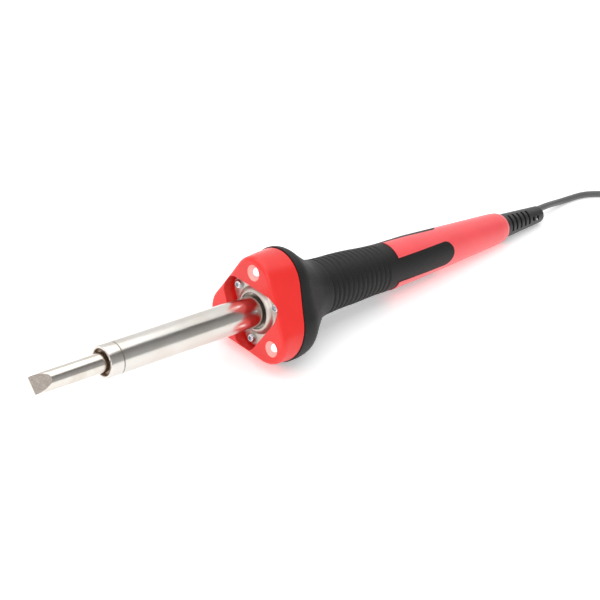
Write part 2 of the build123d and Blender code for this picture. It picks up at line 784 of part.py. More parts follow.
def make_plug(start):
    """Moulded mains plug lying on its flat side, with its lead at start."""
    long, wide, high = PLUG_BODY
    front = start.X + PLUG_RELIEF
    body = Pos(front + long / 2, start.Y, high / 2) * Box(long, wide, high)
    body = fillet(body.edges().filter_by(Axis.X), PLUG_ROUND)
    relief = Cone(0.34 * high, CORD_R + 1, PLUG_RELIEF + 1, rotation=(0, -90, 0))
    body += Pos(start.X + (PLUG_RELIEF + 1) / 2, start.Y, start.Z) * relief
    face = front + long
    blades = [
        Pos(face + BLADE[0] / 2, start.Y + side * BLADES_APART / 2, BLADE_UP) * Box(*BLADE)
        for side in (-1, 1)
    ]
    blades = [fillet(b.faces().sort_by(Axis.X)[-1].edges().filter_by(Axis.Z), 0.5) for b in blades]
    pin = Pos(0, start.Y, BLADE_UP + EARTH_UP) * turned(
        [
            (face, 0),
            (face, EARTH_R),
            (face + EARTH_LEN - EARTH_R, EARTH_R),
            (face + EARTH_LEN - 0.3 * EARTH_R, 0.7 * EARTH_R),
            (face + EARTH_LEN, 0.2 * EARTH_R),
            (face + EARTH_LEN, 0),
        ]
    )
    return body, blades, pin


def make_iron():
    """Every piece of the iron itself, about its own axis."""
    outer = envelope(0)
    room = grip_room(envelope(GRIP_DEEP))
    crimps = make_crimps()
    cores = {
        "live": make_cord_core(LEAD_OFF, 0),
        "neutral": make_cord_core(-LEAD_OFF, 0),
        "earth": make_cord_core(0, -LEAD_OFF - CORE_R),
    }
    pieces = {
        "chisel_tip": make_tip(),
        "tip_set_screw": make_set_screw(),
        "barrel_nose": make_nose(),
        "barrel_tube": make_barrel(),
        "ceramic_plug": make_ceramic_plug(),
        "heater_leads": make_leads(),
        "lead_sleeves": make_lead_sleeves(),
        "flange_plate": make_plate(),
        "flange_screws": ringed(SCREW_TURNS, SCREW_CIRCLE, make_flange_screw),
        "flange_gasket": make_gasket(),
        "earth_lead": make_earth(),
        "light_shield": make_shield(),
        "light_lenses": ringed(LED_TURNS, LED_CIRCLE, make_led),
        "light_pins": make_led_pins(),
        "light_board": make_board(),
        "board_capacitor": on_board(LED_TURNS[0], CAPACITOR),
        "board_rectifier": on_board(LED_TURNS[2], RECTIFIER),
        "board_resistors": make_resistors(),
        "board_wires": make_led_wires(),
        "handle_core": make_core(outer, room),
        "soft_grip": make_grip(outer, room),
        "lead_jacket_end": lead_inside(CORD_R),
        "lead_ferrule": make_ferrule(),
        "strain_relief": make_boot(),
    }
    pieces.update(make_heater())
    pieces.update({f"{name}_crimp": piece for name, piece in crimps.items()})
    pieces.update({f"{name}_core": piece for name, piece in cores.items()})
    return pieces


def laid(place, piece):
    """A piece, or a list of like pieces as one group, put in its place."""
    group = piece if isinstance(piece, list) else [piece]
    solids = [place * solid for each in group for solid in each.solids()]
    return Compound(solids) if len(solids) > 1 else solids[0]


def main():
    os.makedirs("parts", exist_ok=True)
    rest = rest_frame()
    for name, piece in make_iron().items():
        export_step(laid(rest, piece), f"parts/{name}.step")

    boot_end = (rest * Pos(lead_line() @ 1)).position
    print("lead leaves at", [round(v, 2) for v in boot_end])
    tail_start, way = on_coil(COIL_OUT, COIL_LAYERS - 1)
    tail_start += way * COIL_STUB
    plug_body, plug_blades, plug_earth = make_plug(Vector(*TAIL_ROUTE[-1]))
    free = {
        "lead_run": lead_tube([boot_end, *ROUTE]),
        "lead_coil": make_coil(),
        "coil_tie": make_tie(),
        "lead_tail": lead_tube([tail_start, *TAIL_ROUTE]),
        "plug_body": plug_body,
        "plug_blades": plug_blades,
        "plug_earth_pin": plug_earth,
    }
    for name, piece in free.items():
        export_step(laid(Location(), piece), f"parts/{name}.step")


main()
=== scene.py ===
"""Electric soldering iron with three lights round its barrel: its visible pieces and their finishes.

Pieces are drawn in millimetres along the iron's own axis, X, which runs from the tip to the
tail with zero at the barrel's front face, and are then laid down where the CAD frame lies.
"""

import json
from math import acos, atan2, cos, hypot, pi, radians, sin, sqrt

import bpy
from bpy.props import FloatProperty, FloatVectorProperty, IntProperty, PointerProperty
from mathutils import Matrix, Vector


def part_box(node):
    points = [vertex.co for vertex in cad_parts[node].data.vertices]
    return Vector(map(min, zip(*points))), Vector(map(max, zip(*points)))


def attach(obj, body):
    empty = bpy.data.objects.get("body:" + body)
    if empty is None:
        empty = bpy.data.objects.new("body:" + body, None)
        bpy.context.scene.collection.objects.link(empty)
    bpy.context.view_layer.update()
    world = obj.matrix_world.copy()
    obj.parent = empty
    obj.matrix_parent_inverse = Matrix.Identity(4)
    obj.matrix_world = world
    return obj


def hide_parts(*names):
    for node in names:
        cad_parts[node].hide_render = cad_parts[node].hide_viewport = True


bl_info = {
    "name": "Soldering iron",
    "version": (1, 0, 0),
    "blender": (4, 5, 0),
    "location": "3D View > Sidebar > Iron",
    "description": "Models a soldering iron's visible pieces round its CAD frame",
    "category": "Object",
}

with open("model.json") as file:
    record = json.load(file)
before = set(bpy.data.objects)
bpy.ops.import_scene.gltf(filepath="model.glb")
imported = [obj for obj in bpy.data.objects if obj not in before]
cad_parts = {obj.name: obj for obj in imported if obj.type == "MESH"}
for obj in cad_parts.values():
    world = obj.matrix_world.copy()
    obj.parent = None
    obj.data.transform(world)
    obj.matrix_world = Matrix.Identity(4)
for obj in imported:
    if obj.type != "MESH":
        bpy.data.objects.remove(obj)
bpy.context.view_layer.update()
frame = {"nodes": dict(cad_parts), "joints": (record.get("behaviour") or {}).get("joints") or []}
NODES = frame["nodes"]
JOINTS = {joint["name"]: joint for joint in frame["joints"]}

MM = 0.001
FRONT = Vector((-0.1416526, 0.0, 0.0341772))  # middle of the barrel's front face
LEAD_EXIT = Vector((179.23, 1.64, 7.33))
LIGHT_TURNS = (90, 210, 330)
SCREW_TURNS = (30, 150, 270)
LIGHT_CIRCLE = 22.0
SCREW_CIRCLE = 15.9


def laid_frame():
    """The iron's own axes, in millimetres, as they lie in the CAD frame."""
    along = -Vector(JOINTS["tip_slide"]["axis"])
    across = Vector((0, 1, 0))
    turn = Matrix((along, across, along.cross(across))).transposed().to_4x4()
    return Matrix.Translation(FRONT) @ turn @ Matrix.Scale(MM, 4)


LAID = laid_frame()


def linear(code):
    """Linear colour from an sRGB hex code."""
    parts = [int(code[k : k + 2], 16) / 255 for k in (1, 3, 5)]
    return tuple(c / 12.92 if c <= 0.04045 else ((c + 0.055) / 1.055) ** 2.4 for c in parts)


def hue(code, label):
    """A colour that the user may change."""
    return FloatVectorProperty(
        name=label,
        description=f"Colour of the {label.lower()}",
        default=linear(code),
        subtype="COLOR",
        min=0,
        max=1,
    )


def size(label, description, default, low, high):
    """A size in millimetres that the user may change."""
    return FloatProperty(name=label, description=description, default=default, min=low, max=high, unit="NONE")


class IronSizes(bpy.types.PropertyGroup):
    groove_deep: size("Groove depth", "Depth of the grip's grooves, mm", 0.75, 0.2, 1.2)
    groove_wide: size("Groove width", "Width of the grip's grooves, mm", 2.1, 1.0, 3.0)
    edge: size("Edge round", "Round along machined edges, mm", 0.18, 0.05, 0.4)
    seam: size("Seam round", "Round along the grip's cut edges, mm", 0.28, 0.1, 0.6)
    grooves: IntProperty(name="Grooves", description="Grooves round the grip", default=13, min=4, max=13)


class IronColours(bpy.types.PropertyGroup):
    shield: hue("#E8221C", "Red shield")
    handle: hue("#F2444A", "Red handle")
    rubber: hue("#141312", "Black grip")
    lead: hue("#59595A", "Grey lead")
    steel: hue("#D9D6D1", "Barrel steel")
    lamp: hue("#F4F8FF", "Lamp")


# ------------------------------------------------------------------ finishes
def add_node(tree, kind, inputs=(), **settings):
    """Adds one shader node with its settings, its values and its links."""
    made = tree.nodes.new(kind)
    for name, value in settings.items():
        setattr(made, name, value)
    for socket, value in dict(inputs).items():
        if isinstance(value, bpy.types.NodeSocket):
            tree.links.new(value, made.inputs[socket])
        else:
            made.inputs[socket].default_value = value
    return made


def finish(name, colour, **sockets):
    """A material with even values set on the shader's own sockets."""
    made = bpy.data.materials.new(name)
    made.use_nodes = True
    shader = made.node_tree.nodes["Principled BSDF"]
    shader.inputs["Base Color"].default_value = (*colour, 1)
    for socket, value in sockets.items():
        shader.inputs[socket.replace("_", " ")].default_value = value
    return made


def texture_space(tree, stretch=(1, 1, 1)):
    """Object coordinates turned along the iron's axis, and stretched."""
    coords = add_node(tree, "ShaderNodeTexCoord")
    turned = add_node(
        tree,
        "ShaderNodeMapping",
        {"Vector": coords.outputs["Object"], "Rotation": (0, -LAID.to_euler().y, 0)},
    )
    return add_node(
        tree, "ShaderNodeMapping", {"Vector": turned.outputs["Vector"], "Scale": stretch}
    ).outputs["Vector"]


def grain(material, grit, deep=0.0, spread=0.0, rough=None, stretch=(1, 1, 1), detail=3.0, tint=None):
    """Noise with grains of grit mm: deep mm of relief, a spread of shade and a range of roughness."""
    tree = material.node_tree
    shader = tree.nodes["Principled BSDF"]
    noise = add_node(
        tree,
        "ShaderNodeTexNoise",
        {"Vector": texture_space(tree, stretch), "Scale": 1 / (grit * MM), "Detail": detail},
    )
    value = noise.outputs["Fac"]
    if deep:
        before = shader.inputs["Normal"].links
        bump = add_node(
            tree, "ShaderNodeBump", {"Height": value, "Distance": deep * MM, "Strength": 1.0}
        )
        if before:
            tree.links.new(before[0].from_socket, bump.inputs["Normal"])
        tree.links.new(bump.outputs["Normal"], shader.inputs["Normal"])
    if spread:
        base = shader.inputs["Base Color"]
        start = base.links[0].from_socket if base.links else None
        plain = tuple(base.default_value)
        other = (*tint, 1) if tint else tuple(c * (1 - spread) for c in plain[:3]) + (1,)
        shade = add_node(
            tree,
            "ShaderNodeMapRange",
            {"Value": value, "From Min": 0.35, "From Max": 0.65, "To Max": spread if tint else 1.0},
        )
        tree.links.new(add_mix(tree, shade.outputs["Result"], start or plain, other), base)
    if rough:
        gloss = add_node(
            tree,
            "ShaderNodeMapRange",
            {"Value": value, "From Min": 0.3, "From Max": 0.7, "To Min": rough[0], "To Max": rough[1]},
        )
        tree.links.new(gloss.outputs["Result"], shader.inputs["Roughness"])
    return material


def add_mix(tree, factor, first, second):
    """Colour between two colours or sockets."""
    mixed = add_node(tree, "ShaderNodeMix", data_type="RGBA")
    for index, value in ((0, factor), (6, first), (7, second)):
        if isinstance(value, bpy.types.NodeSocket):
            tree.links.new(value, mixed.inputs[index])
        else:
            mixed.inputs[index].default_value = value
    return mixed.outputs[2]


def paint(obj, *materials):
    """Gives an object these materials, in order."""
    while len(obj.data.materials) < len(materials):
        obj.data.materials.append(None)
    for slot, material in zip(obj.material_slots, materials):
        slot.material = material


# ------------------------------------------------------------------ modelling
def only(obj):
    """Selects one object alone."""
    bpy.ops.object.select_all(action="DESELECT")
    obj.select_set(True)
    bpy.context.view_layer.objects.active = obj


def edit(obj):
    """Opens one object for editing, all of it selected."""
    only(obj)
    bpy.ops.object.mode_set(mode="EDIT")
    bpy.ops.mesh.select_all(action="SELECT")


def close(obj):
    """Merges doubles, turns faces outwards and leaves edit mode."""
    bpy.ops.mesh.select_all(action="SELECT")
    bpy.ops.mesh.remove_doubles(threshold=0.002)
    bpy.ops.mesh.normals_make_consistent(inside=False)
    bpy.ops.object.mode_set(mode="OBJECT")
    return obj


def spun(name, outline, steps=96, form=None):
    """Draws a half section point by point and spins it about X. form gives each section its shape."""
    bpy.ops.object.select_all(action="DESELECT")
    bpy.ops.mesh.primitive_plane_add(size=1)
    obj = bpy.context.object
    obj.name = obj.data.name = name
    edit(obj)
    bpy.ops.mesh.merge(type="CENTER")
    at = Vector((0, 0, 0))
    for k, (x, radius) in enumerate(outline):
        move = Vector((x, 0, radius)) - at
        at = Vector((x, 0, radius))
        if k == 0:
            bpy.ops.transform.translate(value=move)
        else:
            bpy.ops.mesh.extrude_vertices_move(TRANSFORM_OT_translate={"value": move})
    bpy.ops.mesh.select_all(action="SELECT")
    bpy.ops.mesh.spin(steps=steps, angle=2 * pi, center=(0, 0, 0), axis=(1, 0, 0))
    close(obj)
    if form:
        places = {(round(x, 2), round(r, 2)): k for k, (x, r) in enumerate(outline)}
        for vertex in obj.data.vertices:
            y, z = vertex.co.y, vertex.co.z
            k = places[(round(vertex.co.x, 2), round(hypot(y, z), 2))]
            turn = atan2(z, y)
            x, radius = form(k, turn)
            vertex.co = (x, radius * cos(turn), radius * sin(turn))
        edit(obj)
        close(obj)
    return obj


def modify(obj, kind, **settings):
    """Adds a modifier and applies it."""
    only(obj)
    made = obj.modifiers.new(kind.title(), kind)
    for name, value in settings.items():
        setattr(made, name, value)
    bpy.ops.object.modifier_apply(modifier=made.name)
    return obj


def cut(obj, *tools, operation="DIFFERENCE"):
    """Cuts an object with others, which go."""
    for tool in tools:
        modify(obj, "BOOLEAN", operation=operation, object=tool, solver="EXACT")
        bpy.data.objects.remove(tool)
    return obj


def ease(obj, width, angle=35.0, segments=2):
    """Rounds the edges that are sharper than an angle."""
    return modify(
        obj,
        "BEVEL",
        width=width,
        segments=segments,
        limit_method="ANGLE",
        angle_limit=radians(angle),
        use_clamp_overlap=True,
        harden_normals=False,
    )


def moved(obj, turn, radius, x=0.0):
    """Moves a piece off the axis, at an angle about it."""
    only(obj)
    bpy.ops.transform.translate(value=(x, radius * cos(radians(turn)), radius * sin(radians(turn))))
    bpy.ops.object.transform_apply(location=True, rotation=True, scale=True)
    return obj


def copied(obj, name):
    """A copy with its own mesh."""
    made = obj.copy()
    made.data = obj.data.copy()
    made.name = made.data.name = name
    bpy.context.scene.collection.objects.link(made)
    return made


def box(name, low, high):
    """A block between two corners."""
    low, high = Vector(low), Vector(high)
    bpy.ops.object.select_all(action="DESELECT")
    bpy.ops.mesh.primitive_cube_add(size=1, location=(low + high) / 2, scale=high - low)
    bpy.ops.object.transform_apply(location=True, rotation=True, scale=True)
    obj = bpy.context.object
    obj.name = obj.data.name = name
    return obj


def turned_about_axis(obj, turn):
    """Turns a piece about the iron's axis."""
    only(obj)
    obj.rotation_euler = (radians(turn), 0, 0)
    bpy.ops.object.transform_apply(location=True, rotation=True, scale=True)
    return obj


def place(obj, body, slot, *nodes, smooth=30.0, laid=True):
    """Lays a finished piece down, smooths it, hangs it on its body and hides the frame's nodes it stands for.
    """
    only(obj)
    if laid:
        obj.matrix_world = LAID
        bpy.ops.object.transform_apply(location=True, rotation=True, scale=True)
    bpy.ops.object.shade_smooth_by_angle(angle=radians(smooth))
    modify(obj, "WEIGHTED_NORMAL", keep_sharp=True)
    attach(obj, body)
    if nodes:
        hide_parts(*nodes)
    return obj


def lobed(turn, lobe, flat, first=90.0):
    """Radius, at an angle in radians, of three round lobes with flats between them."""
    off = (turn - radians(first) + pi / 3) % (2 * pi / 3) - pi / 3
    centre = 2 * (lobe - flat)
    radius = lobe - centre
    meet = atan2(radius * sin(pi / 3), centre + radius * 0.5)
    if abs(off) > meet:
        return flat / cos(pi / 3 - abs(off))
    return centre * cos(off) + sqrt(max(0.0, radius**2 - (centre * sin(off)) ** 2))


def between(table, x):
    """Straight-line value at x from a table of (x, value) rows."""
    if x <= table[0][0]:
        return table[0][1]
    for (x0, v0), (x1, v1) in zip(table, table[1:]):
        if x <= x1:
            t = (x - x0) / (x1 - x0)
            return v0 + (v1 - v0) * t
    return table[-1][1]


# ------------------------------------------------------------------ stage
WALL_SHADES = ((0.0, 0.62), (0.2, 0.42), (0.46, 0.14), (0.49, 0.12), (0.52, 1.0))


class IRON_OT_stage(bpy.types.Operator):
    """Sets up the camera, the floor and the soft studio light"""

    bl_idname = "iron.stage"
    bl_label = "Stage and light"

    def execute(self, context):
        bpy.ops.object.camera_add(
            location=(-0.447954, -0.419, 0.399398),
            rotation=(radians(57.6132), radians(-4.0172), radians(-43.2004)),
        )
        camera = context.object
        camera.name = "studio_camera"
        camera.data.lens = 84
        camera.data.sensor_width = 36
        camera.data.clip_start = 0.01
        context.scene.camera = camera

        bpy.ops.mesh.primitive_plane_add(size=8)
        floor = context.object
        floor.name = "floor"
        # matt white laminate: even, with a breath of unevenness
        laminate = finish("white_laminate", linear("#FAFAFA"), Roughness=0.6, Emission_Strength=0.3)
        glow = laminate.node_tree.nodes["Principled BSDF"].inputs["Emission Color"]
        glow.default_value = (1, 1, 1, 1)
        paint(floor, grain(laminate, 60, spread=0.012))

        for name, where, aim, wide, power in (
            ("key_softbox", (0.0, 0.25, 1.5), (0, 0, 0), 2.2, 17.0),
            ("side_softbox", (-1.1, -0.5, 0.7), (-0.1, 0, 0), 0.7, 4.0),
        ):
            way = Vector(aim) - Vector(where)
            bpy.ops.object.light_add(
                type="AREA", location=where, rotation=way.to_track_quat("-Z", "Y").to_euler()
            )
            lamp = context.object
            lamp.name = name
            lamp.data.size = wide
            lamp.data.energy = power

        world = bpy.data.worlds.new("studio")
        context.scene.world = world
        world.use_nodes = True
        tree = world.node_tree
        sky = tree.nodes["Background"]
        coords = add_node(tree, "ShaderNodeTexCoord")
        # a bright wall behind and a dark one in front, which only polished steel mirrors
        lean = add_node(
            tree,
            "ShaderNodeVectorMath",
            {0: coords.outputs["Generated"], 1: (0, 0.961, 0.276)},
            operation="DOT_PRODUCT",
        )
        share = add_node(
            tree, "ShaderNodeMapRange", {"Value": lean.outputs["Value"], "From Min": -1.0, "From Max": 1.0}
        )
        walls = add_node(tree, "ShaderNodeValToRGB", {"Fac": share.outputs["Result"]})
        ramp = walls.color_ramp
        for k, (spot, shade) in enumerate(WALL_SHADES):
            step = ramp.elements[k] if k < 2 else ramp.elements.new(spot)
            step.position = spot
            step.color = (shade, shade, shade, 1)
        path = add_node(tree, "ShaderNodeLightPath")
        around = add_mix(tree, path.outputs["Is Glossy Ray"], (0.66, 0.66, 0.66, 1), walls.outputs["Color"])
        shown = add_mix(tree, path.outputs["Is Camera Ray"], around, (0.9, 0.9, 0.9, 1))
        tree.links.new(shown, sky.inputs["Color"])
        sky.inputs["Strength"].default_value = 1.0
        context.scene.view_settings.view_transform = "Standard"
        return {"FINISHED"}


# ------------------------------------------------------------------ lead
ROUTE = [
    (189.0, 2.5, 6.4),
    (198.5, 3.9, 4.3),
    (208.0, 4.5, 2.6),
    (217.5, 4.3, 1.9),
    (228.5, 2.6, 1.9),
    (236.5, -2.2, 1.9),
    (245.5, -9.3, 1.9),
    (255.5, -16.0, 2.1),
    (265.5, -21.3, 2.5),
    (276.3, -25.7, 2.5),
]
TAIL_ROUTE = [(339.5, -28.6, 7.6), (347.5, -27.0, 10.4), (355.5, -26.0, 12.5)]
LEAD_R = 1.9
COIL_AT = (305.5, -4.0)
COIL_LOW = 2.5
COIL_TURNS = [30.4, 26.6, 22.8, 19.0, 15.2, 15.2, 19.0, 22.8, 26.6, 30.4, 30.4]
COIL_START = -110.0
COIL_SWEEP = 3630.0
COIL_POINTS = 163
COIL_CROSSING = 0.14  # share of a turn in which the lead crosses to the next row
COIL_CLIMB = 4  # turn at whose end it climbs to the upper layer
PLUG_NECK = 14


def coil_route():
    """Points of the wound lead: inwards on the lower layer and outwards on the upper one."""
    points = []
    step = COIL_SWEEP / COIL_POINTS
    for k in range(COIL_POINTS + 1):
        turns = k * step / 360
        whole = int(turns)
        late = max(0.0, (turns - whole - (1 - COIL_CROSSING)) / COIL_CROSSING)
        ease_in = late * late * (3 - 2 * late)
        here = COIL_TURNS[whole]
        after = COIL_TURNS[min(whole + 1, len(COIL_TURNS) - 1)]
        radius = (here + (after - here) * ease_in) / cos(radians(step / 2))
        layer = 0 if whole < COIL_CLIMB else (ease_in if whole == COIL_CLIMB else 1)
        angle = radians(COIL_START + k * step)
        points.append(
            (
                COIL_AT[0] + radius * cos(angle),
                COIL_AT[1] + radius * sin(angle),
                COIL_LOW + 2 * LEAD_R * layer,
            )
        )
    return points


class IRON_OT_lead(bpy.types.Operator):
    """Lays the free lead from the strain relief to its coil and its plug"""

    bl_idname = "iron.lead"
    bl_label = "Free lead"

    def execute(self, context):
        colours = context.scene.iron_colours
        curve = bpy.data.curves.new("lead", "CURVE")
        curve.dimensions = "3D"
        spline = curve.splines.new("NURBS")
        route = [tuple(LEAD_EXIT), *ROUTE, *coil_route(), *TAIL_ROUTE]
        spline.points.add(len(route) - 1)
        for point, (x, y, z) in zip(spline.points, route):
            point.co = (x * MM, y * MM, z * MM, 1)
        spline.order_u = 3
        spline.use_endpoint_u = True
        spline.resolution_u = 6
        curve.bevel_depth = LEAD_R * MM
        curve.bevel_resolution = 5
        curve.use_fill_caps = True
        lead = bpy.data.objects.new("lead", curve)
        context.scene.collection.objects.link(lead)
        # extruded flexible PVC: satin grey with faint drawn unevenness
        vinyl = finish("flexible_pvc_extruded", colours.lead[:], Roughness=0.42, IOR=1.53)
        paint(lead, grain(grain(vinyl, 1.2, deep=0.02, spread=0.1), 9, rough=(0.36, 0.5)))
        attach(lead, "iron")
        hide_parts("lead_run", "lead_coil", "lead_tail")
        plug = self.plug(colours)
        return {"FINISHED"}

    def plug(self, colours):
        """Moulded mains plug with finger ridges and a ribbed neck."""
        low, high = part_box("plug_body")
        low, high = low / MM, high / MM
        neck = TAIL_ROUTE[-1]
        front = neck[0] + PLUG_NECK
        plug = box("plug_body_moulded", (front, low.y, low.z), high)
        edit(plug)
        bpy.ops.mesh.bevel(offset=3.2, segments=4, affect="EDGES")
        close(plug)
        for side in (-1, 1):
            y = low.y if side < 0 else high.y
            for k in range(4):
                x = front + 6 + 4.4 * k
                ridge = box("ridge", (x, y - 0.7, low.z + 5), (x + 2.0, y + 0.7, high.z - 5))
                cut(plug, ease(ridge, 0.5, segments=3), operation="DIFFERENCE")
        rings = [(front + 2, 0), (front + 2, 8.4), (front, 8.2)]
        for k in range(4):
            x = front - 1 - 3.2 * k
            rings += [(x, 7.6 - 1.25 * k), (x - 1.4, 7.2 - 1.25 * k)]
            rings += [(x - 1.6, 5.6 - 0.9 * k), (x - 2.6, 5.4 - 0.9 * k)]
        rings += [(neck[0] + 0.2, 2.6), (neck[0] + 0.2, 0)]
        collar = spun("plug_neck", rings, steps=48)
        collar.location = (0, neck[1], neck[2])
        only(collar)
        bpy.ops.object.transform_apply(location=True, rotation=True, scale=True)
        cut(plug, collar, operation="UNION")
        ease(plug, 0.3, angle=40)
        plug.scale = (MM, MM, MM)
        only(plug)
        bpy.ops.object.transform_apply(location=True, rotation=True, scale=True)
        # moulded PVC, a shade darker than the lead where the tool was grained
        moulded = finish("pvc_moulded_plug", [c * 0.8 for c in colours.lead], Roughness=0.5)
        paint(plug, grain(moulded, 0.7, deep=0.03, spread=0.12, rough=(0.42, 0.58)))
        return place(plug, "iron", "grey_lead", "plug_body", laid=False)


# ------------------------------------------------------------------ tip and barrel
TIP_START = -37.4
TIP_TURN = 42  # the edge's direction, degrees about X
EDGE_HALF = 0.45


class IRON_OT_tip(bpy.types.Operator):
    """Turns the tip's shank and grinds its two chisel facets"""

    bl_idname = "iron.tip"
    bl_label = "Chisel tip"

    def execute(self, context):
        sizes = context.scene.iron_sizes
        outline = [(TIP_START, 0), (TIP_START, 4.3), (-30, 4.75), (33.2, 4.75), (34, 3.9), (34, 0)]
        tip = spun("chisel_tip_ground", outline, 128)
        edit(tip)
        spin = Matrix.Rotation(radians(TIP_TURN), 3, "X")
        flats = [spin @ Vector((-4.3, 0, side * 8.2)).normalized() for side in (1, -1)]
        for side, normal in zip((1, -1), flats):
            bpy.ops.mesh.select_all(action="SELECT")
            spot = spin @ Vector((TIP_START, 0, side * EDGE_HALF))
            bpy.ops.mesh.bisect(plane_co=spot, plane_no=normal, use_fill=True, clear_outer=True)
        close(tip)
        ease(tip, sizes.edge, angle=18)
        # turned iron, plated and polished: bright, with fine rings left by the lathe
        plated = finish("iron_plated_turned", linear("#DCD8D2"), Metallic=1.0, Roughness=0.16)
        grain(plated, 0.35, deep=0.004, stretch=(4, 0.3, 0.3), rough=(0.1, 0.22))
        grain(plated, 7, spread=0.35, tint=linear("#B9A893"), detail=4)
        # solder-wetting face: dull tinned iron, pitted and streaked where it was ground
        tinned = finish("iron_tinned_face", linear("#BDB3AB"), Metallic=0.7, Roughness=0.55)
        grain(tinned, 0.5, deep=0.09, spread=0.35, rough=(0.42, 0.68), stretch=(1, 2.5, 1))
        grain(tinned, 2.4, spread=0.4, tint=linear("#8F8378"))
        paint(tip, plated, tinned)
        for face in tip.data.polygons:
            if face.center.x < -28 and any(face.normal.dot(n) > 0.985 for n in flats):
                face.material_index = 1
        place(tip, "tip", "plated_copper", "chisel_tip")
        return {"FINISHED"}


class IRON_OT_barrel(bpy.types.Operator):
    """Turns the nose ring and the barrel's tube with its rear flange"""

    bl_idname = "iron.barrel"
    bl_label = "Barrel"

    def execute(self, context):
        sizes, colours = context.scene.iron_sizes, context.scene.iron_colours
        # stainless tube, polished along its length: mirror-like with faint long draw lines
        polished = finish("stainless_polished", colours.steel[:], Metallic=1.0, Roughness=0.18)
        grain(polished, 0.5, deep=0.004, stretch=(0.05, 1, 1), rough=(0.14, 0.25))
        grain(polished, 16, spread=0.25, tint=linear("#C2B4A4"), detail=2)
        # the same steel heated at the mouth: straw to brown oxide, duller
        heated = finish("stainless_heat_tinted", linear("#B4A08E"), Metallic=0.8, Roughness=0.42)
        grain(heated, 1.4, deep=0.02, spread=0.4, rough=(0.28, 0.5))
        grain(heated, 3, spread=0.5, tint=linear("#8C7766"))

        nose = spun(
            "barrel_nose_ring",
            [
                (0, 6.7), (0.3, 6.4), (2.2, 6.4), (2.2, 4.83), (15.8, 4.83), (15.8, 7.25),
                (6.8, 7.25), (6.8, 8.0), (0.7, 8.0), (0.18, 7.78), (0, 7.3), (0, 6.7),
            ],
            128,
        )
        hole = spun("hole", [(0, 0), (0, 1.55), (10, 1.55), (10, 0)], 32)
        hole.rotation_euler = (0, radians(-90), 0)
        only(hole)
        bpy.ops.object.transform_apply(location=True, rotation=True, scale=True)
        hole.location = (4.5, 0, 0)
        only(hole)
        bpy.ops.object.transform_apply(location=True, rotation=True, scale=True)
        turned_about_axis(hole, 300 - 90)
        cut(nose, hole)
        ease(nose, sizes.edge, angle=32)
        paint(nose, polished, heated)
        for face in nose.data.polygons:
            middle = face.center
            if hypot(middle.y, middle.z) < 6.6 and middle.x > 0.12:
                face.material_index = 1
        place(nose, "iron", "polished_steel", "barrel_nose")

        tube = spun(
            "barrel_tube_drawn",
            [(7.4, 7.3), (96, 7.3), (96, 12.6), (95.2, 12.6), (95.2, 8.0), (7.4, 8.0), (7.4, 7.3)],
            128,
        )
        ease(tube, sizes.edge)
        paint(tube, polished)
        place(tube, "iron", "polished_steel", "barrel_tube")
        return {"FINISHED"}


# ------------------------------------------------------------------ flange
def plate_edge(turn):
    """Radius of the plate's outline: three lugs with straight ends, and a disc between them."""
    off = (turn - radians(30) + pi / 3) % (2 * pi / 3) - pi / 3
    end = 19.4 / cos(off)
    side = 12.6 / max(0.2, cos(pi / 3 - abs(off)))
    return max(12.95, (end**-24 + side**-24) ** (-1 / 24))


class IRON_OT_flange(bpy.types.Operator):
    """Presses the flange plate with its bead, and adds its three screws"""

    bl_idname = "iron.flange"
    bl_label = "Flange plate and screws"

    def execute(self, context):
        lip = [
            (92.2, 9.3), (91.8, 9.5), (91.68, 9.85), (91.85, 10.35), (92.35, 11.0),
            (93.0, 11.65), (93.6, 12.15), (93.9, 12.45), (94.0, 12.74),
        ]
        outline = [
            (95.2, 9.3), *lip, (94.0, 13.4), (94.0, 13.6), (94.1, 13.8), (94.35, 13.9), (94.9, 13.9),
            (95.2, 13.8), (95.2, 9.3),
        ]
        first_edge = 1 + len(lip)

        def shape(k, turn):
            x, radius = outline[k]
            if k < first_edge or k == len(outline) - 1:
                return x, radius
            inset = {0: 0.55, 1: 0.3, 2: 0.1, 3: 0.0, 4: 0.0, 5: 0.12}[k - first_edge]
            return x, max(plate_edge(turn) - inset, 12.76)

        plate = spun("flange_plate_pressed", outline, 240, shape)
        for turn in SCREW_TURNS:
            cut(plate, moved(spun("hole", [(90, 0), (90, 1.5), (99, 1.5), (99, 0)], 24), turn, SCREW_CIRCLE))
        # nickel-plated pressed steel: satin, slightly warm, with soft scuffs
        pressed = finish("steel_nickel_pressed", linear("#D2CCC4"), Metallic=1.0, Roughness=0.4)
        grain(pressed, 2.2, deep=0.012, rough=(0.34, 0.48))
        grain(pressed, 6, spread=0.3, tint=linear("#B8ADA2"))
        paint(plate, pressed)
        place(plate, "iron", "nickel_steel", "flange_plate")

        screw = spun(
            "screw",
            [
                (92.1, 0), (92.1, 1.5), (92.25, 1.95), (92.6, 2.27), (93.1, 2.43), (93.7, 2.45),
                (94.0, 2.38), (94.0, 1.45), (109, 1.45), (109.2, 1.25), (109.2, 0),
            ],
            64,
        )
        bpy.ops.mesh.primitive_cylinder_add(
            vertices=6, radius=1.2, depth=2.6, location=(92.1, 0, 0), rotation=(0, radians(90), 0)
        )
        cut(screw, bpy.context.object)
        ease(screw, 0.09, angle=38)
        # zinc-plated button head: bright and bluish
        zinc = finish("steel_zinc_plated", linear("#D3D6DA"), Metallic=1.0, Roughness=0.17)
        grain(zinc, 0.8, deep=0.006, rough=(0.12, 0.28))
        grain(zinc, 2.5, spread=0.3, tint=linear("#A9AEB8"))
        paint(screw, zinc)
        for k, turn in enumerate(SCREW_TURNS):
            each = turned_about_axis(copied(screw, f"flange_screw_{k + 1}"), 20 + 25 * k)
            place(moved(each, turn, 15.9), "iron", "zinc_screws", "flange_screws")
        bpy.data.objects.remove(screw)
        return {"FINISHED"}


